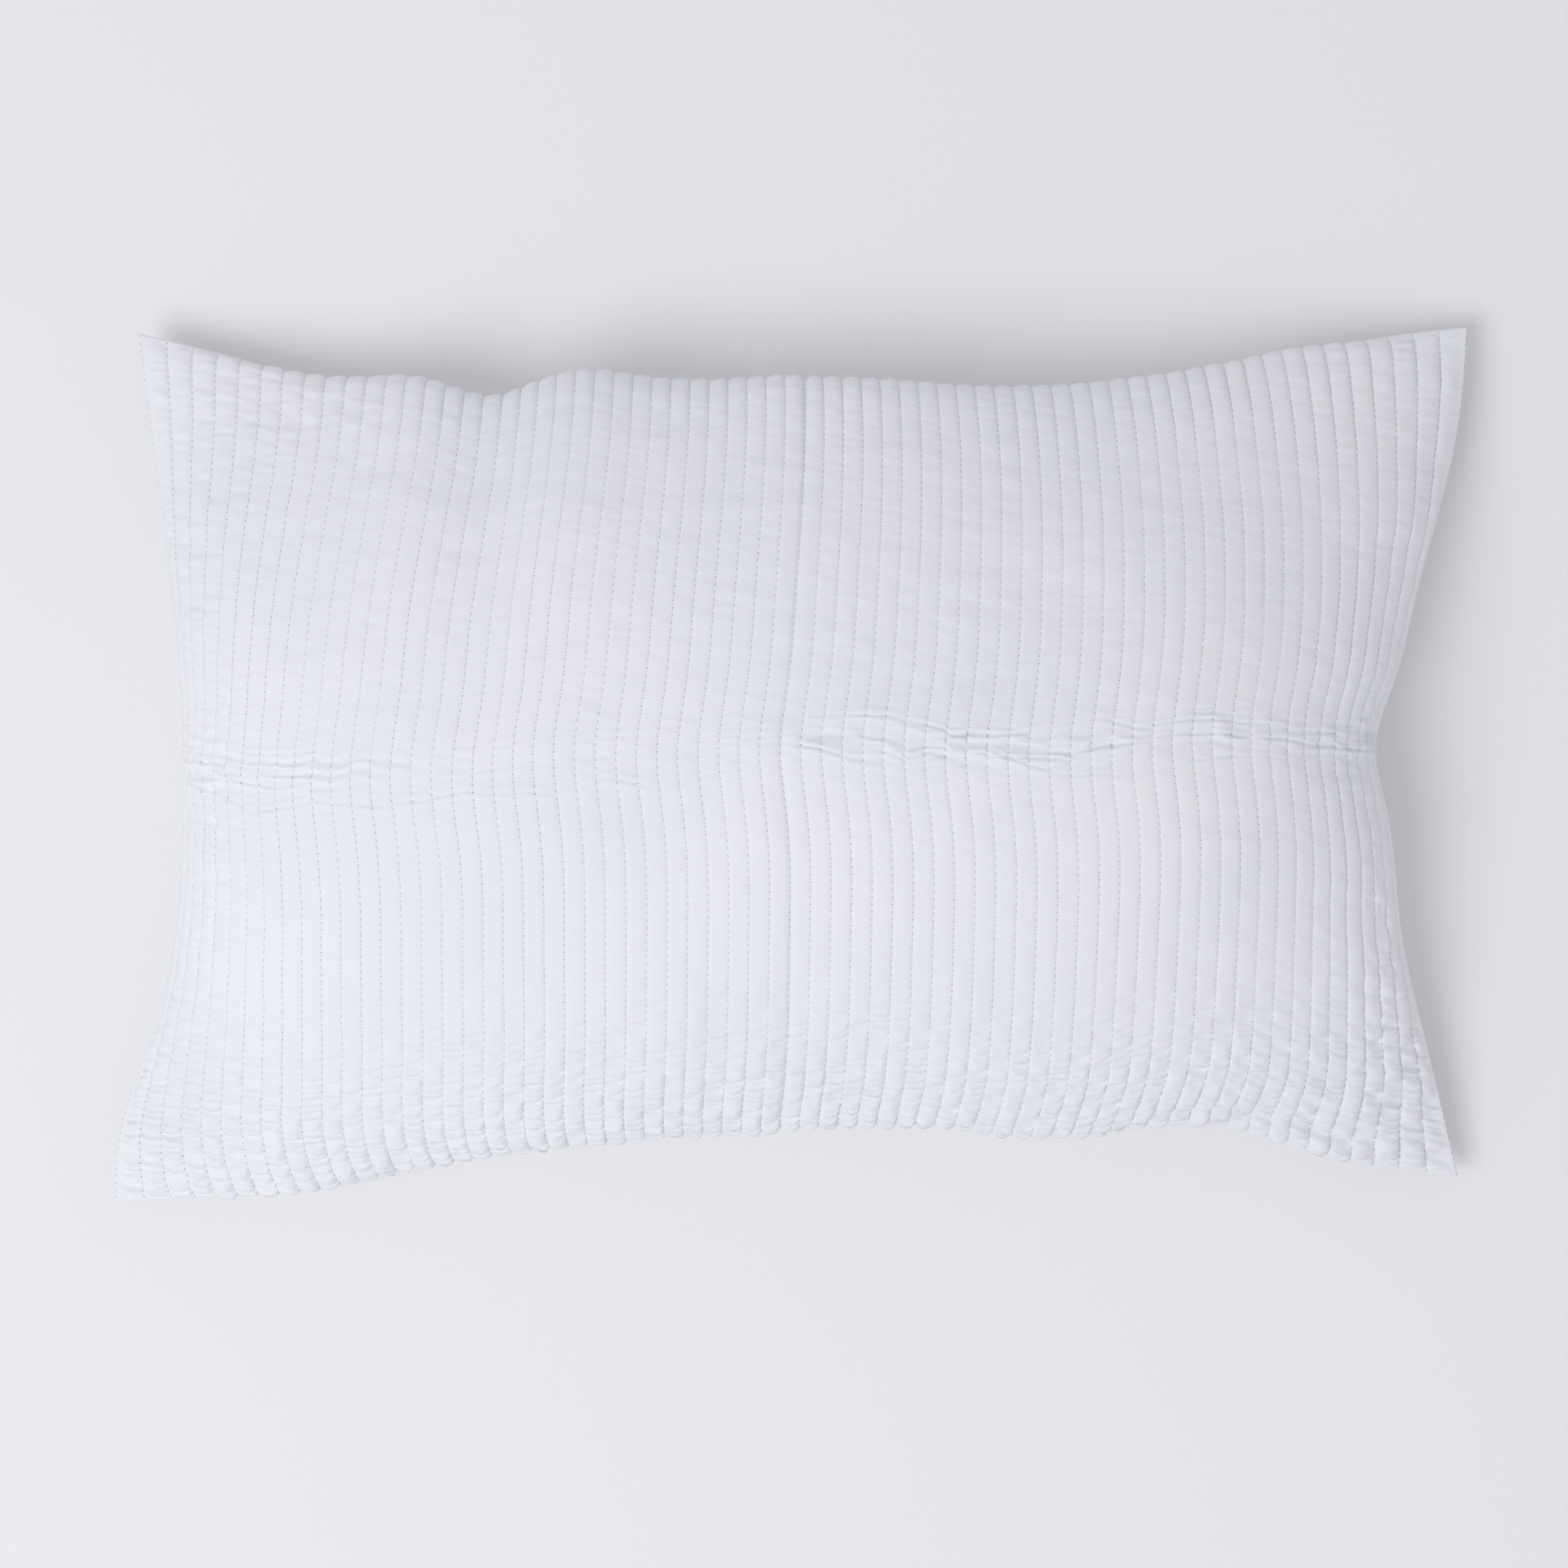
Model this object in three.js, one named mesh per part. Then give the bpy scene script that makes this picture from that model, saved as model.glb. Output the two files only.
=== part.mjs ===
// A bed pillow: a channel-quilted cotton sham with an envelope back, over a fibre-filled insert.
// Millimetres, +Z up. The pillow lies face up on the plane z = 0, its length along X, its width
// along Y, and the origin is under its centre, on that plane.
//
// Every layer is a closed sheet over a grid of the flat case's own coordinates: s runs along the
// length and t along the width, both from -1 to 1. The layers of the front are stacked downwards
// from its face, and those of the back upwards from the face that lies on the floor.
import * as THREE from "three";

// The sham, sewn flat, and what filling it does to it.
const CASE_LENGTH = 762;
const CASE_WIDTH = 508;
const LOFT = 168; // height of the filled pillow
const SEAM_HEIGHT = 62; // the edge seam above the floor at the middle of a side
const CORNER_HEIGHT = 20; // and at a corner, where the case is empty and droops
const END_DRAW = 41; // how far the middle of each short side draws in
const END_DRAW_CORNER = 12; // and its corners
const SIDE_DRAW = 44; // the same for each long side
const SIDE_DRAW_CORNER = 11;

// Cloth and wadding.
const FACE_CLOTH = 0.5;
const WADDING = 3;
const WADDING_IN_SEAM = 1; // where the seam presses it
const LINING = 0.4;
const BACK_CLOTH = 0.6;
const HEM_THICKNESS = 1.2;
const TICKING = 0.5;
const GAP = 0.3; // between neighbouring layers
const SEAM_GAP = 0.4; // between a top panel's edge and a bottom panel's edge

// The envelope back: two hemmed panels that lap across the middle.
const LAP = 150;
const HEM_WIDTH = 20;
const HEM_STEP = 1; // length over which a hem's extra plies begin
const LAP_STEP = 18; // length over which the inner panel drops to the floor past the lap

// The insert, measured along the flat case.
const INSERT_INSET = 45; // between the case's edge and the insert's
const SHOULDER = 13; // from the insert's edge to the line where its sides turn over
const SHOULDER_SHARE = 0.75; // the height of that line, as a share of the room there
const PIPING_RADIUS = 2.2;
const PIPING_SIDES = 8;

// Blank woven labels, each lying flat.
const CARE_LABEL = { length: 40, width: 25, thickness: 0.4, x: 190, y: 60 };
const LAW_LABEL = { length: 60, width: 40, thickness: 0.4, x: 185, y: -55 };

// How the filled shape rounds: powers of s and t.
const CROWN_POWERS = [3.8, 2.6];
const BELLY_POWERS = [4, 3];
const BELLY_SHARE = 1.35; // the back's bulge as a share of the seam height; the floor flattens it
const DRAW_POWERS = [5, 4];
const DROOP_POWER = 4;
const EDGE_ROUND = 8; // width of the rounded edge, where a face turns down to the seam
const STEEPEST = 2.5; // most a layer's upright thickness grows where it runs steeply

const HALF_LENGTH = CASE_LENGTH / 2;
const HALF_WIDTH = CASE_WIDTH / 2;
const FRONT_STACK = FACE_CLOTH + GAP + WADDING + GAP + LINING;
const FRONT_STACK_IN_SEAM = FRONT_STACK - WADDING + WADDING_IN_SEAM;
const INNER_PANEL_DEPTH = HEM_THICKNESS + GAP;
const BACK_STACK = INNER_PANEL_DEPTH + HEM_THICKNESS;
const CROWN = LOFT - SEAM_HEIGHT - SEAM_GAP / 2 - FRONT_STACK;

const same = (a, b) => Math.abs(a - b) < 1e-9;
const mix = (a, b, share) => a + (b - a) * share;
const mirrored = (half) => [...half, ...half.map((v) => -v)];

// Grid lines of the case, closer together where it rounds over; the insert uses the inner ones.
const insertRim = (half) => 1 - INSERT_INSET / half;
const insertShoulder = (half) => insertRim(half) - SHOULDER / half;
const edgeLines = (half) => [1, 1 - EDGE_ROUND / half, insertRim(half), insertShoulder(half)];
const withMiddle = (half) => [...mirrored(half), 0].sort((a, b) => a - b);
const S_LINES = withMiddle([...edgeLines(HALF_LENGTH), 0.94, 0.76, 0.64, 0.5, 0.34, 0.17]);
const T_LINES = withMiddle([...edgeLines(HALF_WIDTH), 0.9, 0.66, 0.46, 0.24]);

// Where a point of the flat case lies in plan once the case is filled.
function plan(s, t) {
  const endDraw = mix(END_DRAW, END_DRAW_CORNER, t * t);
  const sideDraw = mix(SIDE_DRAW, SIDE_DRAW_CORNER, s * s);
  return [
    s * (HALF_LENGTH - endDraw * Math.abs(s) ** DRAW_POWERS[0]),
    t * (HALF_WIDTH - sideDraw * Math.abs(t) ** DRAW_POWERS[1]),
  ];
}

// The height of the edge seam, carried on across the inside as the middle surface.
const seamHeight = (s, t) =>
  mix(SEAM_HEIGHT, CORNER_HEIGHT, Math.abs(s * t) ** DROOP_POWER);

const bulge = (s, t, [powerS, powerT]) =>
  (1 - Math.abs(s) ** powerS) * (1 - Math.abs(t) ** powerT);

const onEdge = (s, t) => same(Math.abs(s), 1) || same(Math.abs(t), 1);

// The height of the front's face.
function frontHeight(s, t) {
  const rise = onEdge(s, t) ? FRONT_STACK_IN_SEAM : FRONT_STACK + CROWN * bulge(s, t, CROWN_POWERS);
  return seamHeight(s, t) + SEAM_GAP / 2 + rise;
}

// The height of the back's face, flattened where it lies on the floor.
function backHeight(s, t) {
  const plies = Math.abs(s) <= stepStart ? BACK_STACK : BACK_CLOTH;
  const belly = BELLY_SHARE * SEAM_HEIGHT * bulge(s, t, BELLY_POWERS);
  const drop = onEdge(s, t) ? plies : BACK_STACK + belly;
  return Math.max(0, seamHeight(s, t) - SEAM_GAP / 2 - drop);
}

// A face over a grid: its heights, and how much thicker a layer stands upright where it is steep.
function makeFace(sLines, tLines, heightAt) {
  const points = sLines.map((s) =>
    tLines.map((t) => new THREE.Vector3(...plan(s, t), heightAt(s, t))),
  );
  const lean = (i, j) => {
    if (onEdge(sLines[i], tLines[j])) return 1;
    const alongS = points[i + 1][j].clone().sub(points[i - 1][j]);
    const alongT = points[i][j + 1].clone().sub(points[i][j - 1]);
    return Math.min(STEEPEST, 1 / alongS.cross(alongT).normalize().z);
  };
  const leans = sLines.map((_, i) => tLines.map((_, j) => lean(i, j)));
  return { sLines, tLines, points, leans };
}

// The face's points moved up by rise(s, t), more where the face is steep.
const raised = (face, rise) =>
  face.points.map((row, i) =>
    row.map((p, j) => {
      const up = rise(face.sLines[i], face.tLines[j]) * face.leans[i][j];
      return p.clone().setZ(p.z + up);
    }),
  );

// The part of a grid whose lines lie inside the given values of s and t.
function windowOf(rows, face, [fromS, toS], [fromT, toT] = [-1, 1]) {
  const inside = (v, from, to) => v > from - 1e-9 && v < to + 1e-9;
  return rows
    .filter((_, i) => inside(face.sLines[i], fromS, toS))
    .map((row) => row.filter((_, j) => inside(face.tLines[j], fromT, toT)));
}

function geometryOf(positions, index) {
  const geometry = new THREE.BufferGeometry();
  geometry.setAttribute("position", new THREE.Float32BufferAttribute(positions, 3));
  geometry.setIndex(index);
  geometry.computeVertexNormals();
  return geometry;
}

// One closed sheet between an upper and a lower set of points, joined along their borders.
function sheetGeometry(upper, lower) {
  const [rows, columns] = [upper.length, upper[0].length];
  const positions = [...upper.flat(), ...lower.flat()].flatMap((p) => p.toArray());
  const top = (i, j) => i * columns + j;
  const bottom = (i, j) => rows * columns + i * columns + j;
  const index = [];
  const quad = (a, b, c, d) => index.push(a, b, c, a, c, d);
  for (let i = 0; i + 1 < rows; i++) {
    for (let j = 0; j + 1 < columns; j++) {
      quad(top(i, j), top(i + 1, j), top(i + 1, j + 1), top(i, j + 1));
      index.push(bottom(i, j), bottom(i + 1, j + 1), bottom(i + 1, j));
      index.push(bottom(i, j), bottom(i, j + 1), bottom(i + 1, j + 1));
    }
    const end = columns - 1;
    quad(top(i + 1, 0), top(i, 0), bottom(i, 0), bottom(i + 1, 0));
    quad(top(i, end), top(i + 1, end), bottom(i + 1, end), bottom(i, end));
  }
  const end = rows - 1;
  for (let j = 0; j + 1 < columns; j++) {
    quad(top(0, j), top(0, j + 1), bottom(0, j + 1), bottom(0, j));
    quad(top(end, j + 1), top(end, j), bottom(end, j), bottom(end, j + 1));
  }
  return geometryOf(positions, index);
}

// Materials.
const cloth = (color, roughness) =>
  new THREE.MeshStandardMaterial({ color, roughness, metalness: 0 });
const faceCotton = () => cloth(0xeeeff4, 0.8);
const backCotton = () => cloth(0xebecf1, 0.85);
const liningMuslin = () => cloth(0xe9e8e2, 0.9);
const waddingFibre = () => cloth(0xf4f4f2, 0.95);
const tickingCotton = () => cloth(0xf0efe9, 0.8);
const fillFibre = () => cloth(0xf7f7f5, 0.95);
const labelSatin = () => cloth(0xf6f6f6, 0.5);

const pillow = new THREE.Group();

function add(name, geometry, material) {
  const mesh = new THREE.Mesh(geometry, material);
  mesh.name = name;
  pillow.add(mesh);
  return mesh;
}

// The sham's front: face cloth, wadding and lining, quilted together.
const front = makeFace(S_LINES, T_LINES, frontHeight);

function addFrontPly(name, above, thickness, material) {
  const top = raised(front, (s, t) => (onEdge(s, t) ? -above.inSeam : -above.open));
  above.inSeam += thickness.inSeam;
  above.open += thickness.open;
  const bottom = raised(front, (s, t) => (onEdge(s, t) ? -above.inSeam : -above.open));
  above.inSeam += GAP;
  above.open += GAP;
  add(name, sheetGeometry(top, bottom), material);
}

const plies = { inSeam: 0, open: 0 };
addFrontPly("sham_front_face", plies, { inSeam: FACE_CLOTH, open: FACE_CLOTH }, faceCotton());
addFrontPly("sham_front_wadding", plies, { inSeam: WADDING_IN_SEAM, open: WADDING }, waddingFibre());
addFrontPly("sham_front_lining", plies, { inSeam: LINING, open: LINING }, liningMuslin());

// The sham's back: two panels whose hems lap. The outer one lies on the floor along its whole
// length; the inner one lies on it inside the lap and comes down to the floor past it.
const lapEnd = LAP / 2 / HALF_LENGTH;
const hemEnd = (LAP / 2 - HEM_WIDTH) / HALF_LENGTH;
const hemStart = (LAP / 2 - HEM_WIDTH - HEM_STEP) / HALF_LENGTH;
const stepStart = (LAP / 2 + HEM_STEP) / HALF_LENGTH;
const stepEnd = (LAP / 2 + LAP_STEP) / HALF_LENGTH;
const lapLines = mirrored([stepEnd, stepStart, lapEnd, hemEnd, hemStart]);
const backSLines = [...S_LINES, ...lapLines].sort((a, b) => a - b);
const back = makeFace(backSLines, T_LINES, backHeight);

function addBackPanel(name, span, bottomAt, thicknessAt) {
  const bottom = raised(back, bottomAt);
  const top = raised(back, (s) => bottomAt(s) + thicknessAt(s));
  add(name, sheetGeometry(windowOf(top, back, span), windowOf(bottom, back, span)), backCotton());
}

addBackPanel(
  "sham_back_outer_panel",
  [-1, lapEnd],
  () => 0,
  (s) => (s > hemEnd - 1e-9 ? HEM_THICKNESS : BACK_CLOTH),
);
addBackPanel(
  "sham_back_inner_panel",
  [-lapEnd, 1],
  (s) => (s < stepStart + 1e-9 ? INNER_PANEL_DEPTH : 0),
  (s) => (s < -hemEnd + 1e-9 ? HEM_THICKNESS : BACK_CLOTH),
);

// The insert: a top and a bottom ticking that meet at its rim, and the fill between them. It
// fills the case, so its faces follow the undersides of the layers round it.
const rim = [insertRim(HALF_LENGTH), insertRim(HALF_WIDTH)];
const shoulder = [insertShoulder(HALF_LENGTH), insertShoulder(HALF_WIDTH)];
const beyond = (s, t, [lineS, lineT]) =>
  Math.abs(s) > lineS - 1e-9 || Math.abs(t) > lineT - 1e-9;

function insertHeight(face, depth) {
  const lining = raised(face, () => depth);
  return (s, t) => {
    const [i, j] = [face.sLines.indexOf(s), face.tLines.indexOf(t)];
    const middle = seamHeight(s, t) + (Math.sign(-depth) * SEAM_GAP) / 2;
    if (beyond(s, t, rim)) return middle;
    return mix(middle, lining[i][j].z, beyond(s, t, shoulder) ? SHOULDER_SHARE : 1);
  };
}

const insertTop = makeFace(S_LINES, T_LINES, insertHeight(front, -FRONT_STACK - GAP));
const insertBottom = makeFace(S_LINES, T_LINES, insertHeight(back, BACK_STACK + GAP));
const ofInsert = (face, rise, edge = rim) =>
  windowOf(raised(face, rise), face, [-edge[0], edge[0]], [-edge[1], edge[1]]);
const onRim = (s, t) => beyond(s, t, rim);

add(
  "insert_ticking_top",
  sheetGeometry(
    ofInsert(insertTop, (s, t) => (onRim(s, t) ? TICKING : 0)),
    ofInsert(insertTop, (s, t) => (onRim(s, t) ? 0 : -TICKING)),
  ),
  tickingCotton(),
);
add(
  "insert_ticking_bottom",
  sheetGeometry(
    ofInsert(insertBottom, (s, t) => (onRim(s, t) ? 0 : TICKING)),
    ofInsert(insertBottom, (s, t) => (onRim(s, t) ? -TICKING : 0)),
  ),
  tickingCotton(),
);
add(
  "insert_fibre_fill",
  sheetGeometry(
    ofInsert(insertTop, () => -TICKING - GAP, shoulder),
    ofInsert(insertBottom, () => TICKING + GAP, shoulder),
  ),
  fillFibre(),
);

// The insert's piped edge: a cord in a bias strip, sewn round the rim between its two tickings.
function rimLoop(rows) {
  const [last, end] = [rows.length - 1, rows[0].length - 1];
  return [
    ...rows.slice(0, last).map((row) => row[0]),
    ...rows[last].slice(0, end),
    ...rows.slice(1).reverse().map((row) => row[end]),
    ...rows[0].slice(1).reverse(),
  ];
}

function addPiping(name, loop) {
  const positions = [];
  const index = [];
  loop.forEach((p, i) => {
    const [before, after] = [loop.at(i - 1), loop[(i + 1) % loop.length]];
    const arriving = p.clone().sub(before).setZ(0).normalize();
    const leaving = after.clone().sub(p).setZ(0).normalize();
    const along = arriving.clone().add(leaving).normalize();
    const out = new THREE.Vector3(along.y, -along.x, 0).divideScalar(along.dot(arriving));
    for (let k = 0; k < PIPING_SIDES; k++) {
      const angle = (2 * Math.PI * (k + 0.5)) / PIPING_SIDES;
      const q = p.clone().addScaledVector(out, GAP + PIPING_RADIUS * (1 + Math.cos(angle)));
      positions.push(q.x, q.y, q.z - SEAM_GAP / 2 + PIPING_RADIUS * Math.sin(angle));
      const [a, b] = [i, (i + 1) % loop.length].map((n) => n * PIPING_SIDES);
      const next = (k + 1) % PIPING_SIDES;
      index.push(a + k, b + k, b + next, a + k, b + next, a + next);
    }
  });
  add(name, geometryOf(positions, index), tickingCotton());
}

addPiping("insert_edge_piping", rimLoop(ofInsert(insertTop, () => 0)));

// The care label lies on the inner panel's inside, past the lap; the law label lies under the
// insert, sewn to it.
function addLabel(name, label, bottom) {
  const box = new THREE.BoxGeometry(label.length, label.width, label.thickness);
  add(name, box, labelSatin()).position.set(label.x, label.y, bottom + label.thickness / 2);
}

addLabel("sham_care_label", CARE_LABEL, BACK_CLOTH + GAP);
addLabel("insert_law_label", LAW_LABEL, BACK_STACK - LAW_LABEL.thickness);

export default pillow;
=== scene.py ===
import math

import bpy
import numpy as np
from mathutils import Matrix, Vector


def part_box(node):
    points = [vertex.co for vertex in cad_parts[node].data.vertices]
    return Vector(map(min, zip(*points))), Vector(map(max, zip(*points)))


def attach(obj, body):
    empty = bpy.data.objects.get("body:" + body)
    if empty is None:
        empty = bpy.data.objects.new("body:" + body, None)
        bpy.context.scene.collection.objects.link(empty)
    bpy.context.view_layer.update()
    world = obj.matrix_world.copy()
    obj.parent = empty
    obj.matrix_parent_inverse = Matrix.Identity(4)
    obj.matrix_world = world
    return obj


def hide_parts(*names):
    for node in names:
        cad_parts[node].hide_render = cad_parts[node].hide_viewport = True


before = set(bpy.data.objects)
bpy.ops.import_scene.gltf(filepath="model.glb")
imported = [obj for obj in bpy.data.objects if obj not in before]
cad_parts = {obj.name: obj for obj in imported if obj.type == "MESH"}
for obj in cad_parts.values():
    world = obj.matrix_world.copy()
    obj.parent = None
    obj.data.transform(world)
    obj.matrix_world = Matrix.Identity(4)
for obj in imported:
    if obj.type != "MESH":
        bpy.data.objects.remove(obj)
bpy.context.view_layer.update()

# ==============================================================================================
# Quilted front of the sham. Washed cotton percale over thin wadding, sewn through in straight
# channels that run across the width. It is cut flat, sewn to the back along its knife edge,
# turned right side out and filled, and the filling crowns it and draws its sides in.
CASE_LENGTH = 0.762
CASE_WIDTH = 0.508
CHANNELS = 66
CHANNEL_WIDTH = CASE_LENGTH / CHANNELS
FRONT_THICKNESS = 0.0042  # face and wadding between two quilting lines, without the puff
LOFT = 0.166  # top of the channels above the floor
CHANNEL_STAND = 0.0015  # how far the channels stand above the filled case itself

# The sewn edge of the filled case: its four corners, and for each side how far it has drawn in
# and how high it stands, at shares of the way along.
NEAR_LEFT = (-0.381, -0.249, 0.018)
NEAR_RIGHT = (0.376, -0.2355, 0.018)
FAR_RIGHT = (0.381, 0.2437, 0.020)
FAR_LEFT = (-0.367, 0.2395, 0.024)
NEAR_SIDE = [
    (0.00, 0.000, 0.018),
    (0.11, 0.005, 0.030),
    (0.22, 0.023, 0.044),
    (0.34, 0.036, 0.054),
    (0.46, 0.043, 0.059),
    (0.62, 0.043, 0.060),
    (0.71, 0.036, 0.056),
    (0.78, 0.042, 0.052),
    (0.85, 0.031, 0.042),
    (0.91, 0.013, 0.031),
    (1.00, 0.000, 0.018),
]
FAR_SIDE = [
    (0.00, 0.000, 0.024),
    (0.08, 0.016, 0.033),
    (0.17, 0.032, 0.045),
    (0.22, 0.034, 0.050),
    (0.27, 0.045, 0.053),
    (0.32, 0.033, 0.056),
    (0.38, 0.036, 0.058),
    (0.49, 0.037, 0.061),
    (0.64, 0.043, 0.060),
    (0.80, 0.030, 0.047),
    (0.93, 0.007, 0.028),
    (1.00, 0.000, 0.020),
]
LEFT_SIDE = [
    (0.00, 0.000, 0.018),
    (0.06, 0.001, 0.023),
    (0.18, 0.018, 0.038),
    (0.30, 0.033, 0.050),
    (0.45, 0.037, 0.058),
    (0.58, 0.034, 0.056),
    (0.71, 0.025, 0.048),
    (0.86, 0.012, 0.035),
    (1.00, 0.000, 0.024),
]
RIGHT_SIDE = [
    (0.00, 0.000, 0.018),
    (0.17, 0.022, 0.034),
    (0.30, 0.038, 0.048),
    (0.43, 0.047, 0.057),
    (0.51, 0.054, 0.060),
    (0.58, 0.044, 0.057),
    (0.68, 0.031, 0.048),
    (0.79, 0.016, 0.037),
    (0.89, 0.005, 0.028),
    (1.00, 0.000, 0.020),
]


def spline_weights(knots, at):
    """Weights that turn values at the knots into values of a natural cubic spline at other places."""
    knots, at = np.asarray(knots, float), np.asarray(at, float)
    count = len(knots)
    gap = np.diff(knots)
    bend, pull = np.eye(count), np.zeros((count, count))
    for i in range(1, count - 1):
        bend[i, i - 1 : i + 2] = gap[i - 1], 2 * (gap[i - 1] + gap[i]), gap[i]
        pull[i, i - 1 : i + 2] = 6 / gap[i - 1], -6 / gap[i - 1] - 6 / gap[i], 6 / gap[i]
    curvature = np.linalg.solve(bend, pull)
    i = np.clip(np.searchsorted(knots, at, side="right") - 1, 0, count - 2)
    h = gap[i][:, None]
    before, after = (knots[i + 1] - at)[:, None], (at - knots[i])[:, None]
    values = np.eye(count)
    return (
        curvature[i] * before**3 / (6 * h)
        + curvature[i + 1] * after**3 / (6 * h)
        + (values[i] / h - curvature[i] * h / 6) * before
        + (values[i + 1] / h - curvature[i + 1] * h / 6) * after
    )


def seam_side(start, end, inward, stations, share):
    stations = np.array(stations)
    shaped = spline_weights(stations[:, 0], share) @ stations[:, 1:]
    share = share[:, None]
    side = np.array(start) * (1 - share) + np.array(end) * share
    side[:, :2] += np.array(inward) * shaped[:, :1]
    side[:, 2] = shaped[:, 1]
    return side


def middle_surface(s, t):
    """A sheet stretched inside the sewn edge; s and t run from -1 to 1 across the flat case."""
    u, v = (np.asarray(s) + 1) / 2, (np.asarray(t) + 1) / 2
    near = seam_side(NEAR_LEFT, NEAR_RIGHT, (0, 1), NEAR_SIDE, u)[:, None]
    far = seam_side(FAR_LEFT, FAR_RIGHT, (0, -1), FAR_SIDE, u)[:, None]
    left = seam_side(NEAR_LEFT, FAR_LEFT, (1, 0), LEFT_SIDE, v)[None]
    right = seam_side(NEAR_RIGHT, FAR_RIGHT, (-1, 0), RIGHT_SIDE, v)[None]
    u, v = u[:, None, None], v[None, :, None]
    corners = (1 - u) * ((1 - v) * np.array(NEAR_LEFT) + v * np.array(FAR_LEFT)) + u * (
        (1 - v) * np.array(NEAR_RIGHT) + v * np.array(FAR_RIGHT)
    )
    return (1 - v) * near + v * far + (1 - u) * left + u * right - corners


def grid_faces(ids, flip=False):
    quads = np.stack([ids[:-1, :-1], ids[1:, :-1], ids[1:, 1:], ids[:-1, 1:]], -1).reshape(-1, 4)
    return quads[:, ::-1] if flip else quads


CLOTH_COLUMNS, CLOTH_ROWS = 88, 58
FIRST_RISE, FIRST_DROP = 0.12, 0.08  # first guess of the height over and under the sewn edge
FIRST_FLOOR = 0.003  # the guess's lowest height above the bed
FILL_FRAMES = 20


def fill_case():
    """Blows the flat case up inside its sewn edge, as cloth, and returns its top and bottom."""
    s, t = np.linspace(-1, 1, CLOTH_COLUMNS + 1), np.linspace(-1, 1, CLOTH_ROWS + 1)
    middle = middle_surface(s, t)
    bulge = (1 - np.abs(s) ** 3)[:, None] * (1 - np.abs(t) ** 2.4)[None]
    top, bottom = middle.copy(), middle.copy()
    top[..., 2] += FIRST_RISE * bulge
    bottom[..., 2] = np.maximum(FIRST_FLOOR, middle[..., 2] - FIRST_DROP * bulge)
    flat = np.zeros_like(middle)
    flat[..., 0], flat[..., 1] = s[:, None] * CASE_LENGTH / 2, t[None] * CASE_WIDTH / 2

    seam = (np.abs(s) == 1)[:, None] | (np.abs(t) == 1)[None]
    top_ids = np.arange(seam.size).reshape(seam.shape)
    bottom_ids = top_ids.copy()
    bottom_ids[~seam] = seam.size + np.arange((~seam).sum())
    points = np.vstack([top.reshape(-1, 3), bottom[~seam]])
    faces = np.vstack([grid_faces(top_ids), grid_faces(bottom_ids, flip=True)])
    mesh = bpy.data.meshes.new("case_to_fill")
    mesh.from_pydata(points.tolist(), [], faces.tolist())
    case = bpy.data.objects.new("case_to_fill", mesh)
    bpy.context.scene.collection.objects.link(case)
    case.shape_key_add(name="first guess")
    cut = case.shape_key_add(name="as cut")
    cut.data.foreach_set("co", np.vstack([flat.reshape(-1, 3), flat[~seam]]).ravel())
    held = case.vertex_groups.new(name="sewn edge")
    held.add(top_ids[seam].tolist(), 1.0, "REPLACE")

    bpy.ops.mesh.primitive_plane_add(size=3)
    bed = bpy.context.object
    bed.modifiers.new("bed", "COLLISION")
    bed.collision.thickness_outer = 0.002

    fill = case.modifiers.new("fill", "CLOTH")
    cloth, hits = fill.settings, fill.collision_settings
    cloth.quality = 6
    cloth.mass = 0.3
    cloth.vertex_group_mass = "sewn edge"
    cloth.rest_shape_key = cut
    cloth.tension_stiffness = cloth.compression_stiffness = 40
    cloth.shear_stiffness = 10
    cloth.bending_stiffness = 1
    cloth.use_pressure = True
    cloth.uniform_pressure_force = 4
    cloth.effector_weights.gravity = 0
    hits.distance_min = 0.002
    hits.use_self_collision = False
    scene = bpy.context.scene
    fill.point_cache.frame_start, fill.point_cache.frame_end = 1, FILL_FRAMES
    for step in range(1, FILL_FRAMES + 1):
        scene.frame_set(step)
    filled = case.evaluated_get(bpy.context.evaluated_depsgraph_get())
    found = np.empty(len(points) * 3, np.float32)
    filled.data.vertices.foreach_get("co", found)
    found = found.reshape(-1, 3).astype(float)
    bpy.data.objects.remove(bed)
    bpy.data.objects.remove(case)
    scene.frame_set(1)
    return found[top_ids], found[bottom_ids], middle


blown_top, blown_bottom, seam_middle = fill_case()
# A stuffed case is fuller than a blown one. The fibre packs out to the sides, so they stand
# steep and roll out over the seam, while weight lowers the crown and the bed flattens the back.
FULLNESS = 1.8
SIDE_ROLL, SIDE_ROLL_AT = 0.018, 0.022  # how far the long sides roll out, and how far in
END_ROLL, END_ROLL_AT = 0.014, 0.080
UNDERSIDE_ROLL = 0.3
SETTLE = 0.035  # how much further the back would drop if there were no bed
SETTLE_ROUND = 0.008  # how gently the back turns flat on the bed
BED_GAP = 0.0003  # between the lowest cloth and the bed
LIFT_BELOW = 0.02  # the back is brought to that gap where it lies lower than this


def fuller(share):
    return 1 - (1 - share.clip(0, 1)) ** FULLNESS


def rolled(points, amount):
    s = np.linspace(-1, 1, points.shape[0])[:, None]
    t = np.linspace(-1, 1, points.shape[1])[None]
    at_end = (1 - np.abs(s)) * CASE_LENGTH / 2 / END_ROLL_AT
    at_side = (1 - np.abs(t)) * CASE_WIDTH / 2 / SIDE_ROLL_AT
    out = np.zeros_like(points)
    out[..., 0] = np.sign(s) * END_ROLL * at_end * np.exp(1 - at_end) * (1 - np.abs(t) ** 5)
    out[..., 1] = np.sign(t) * SIDE_ROLL * at_side * np.exp(1 - at_side) * (1 - np.abs(s) ** 5)
    return points + out * amount


SLACK_AT_ENDS = 10  # the higher, the nearer the ends the channels crowd to take up the slack
EVENING_TURNS = 4


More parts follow.
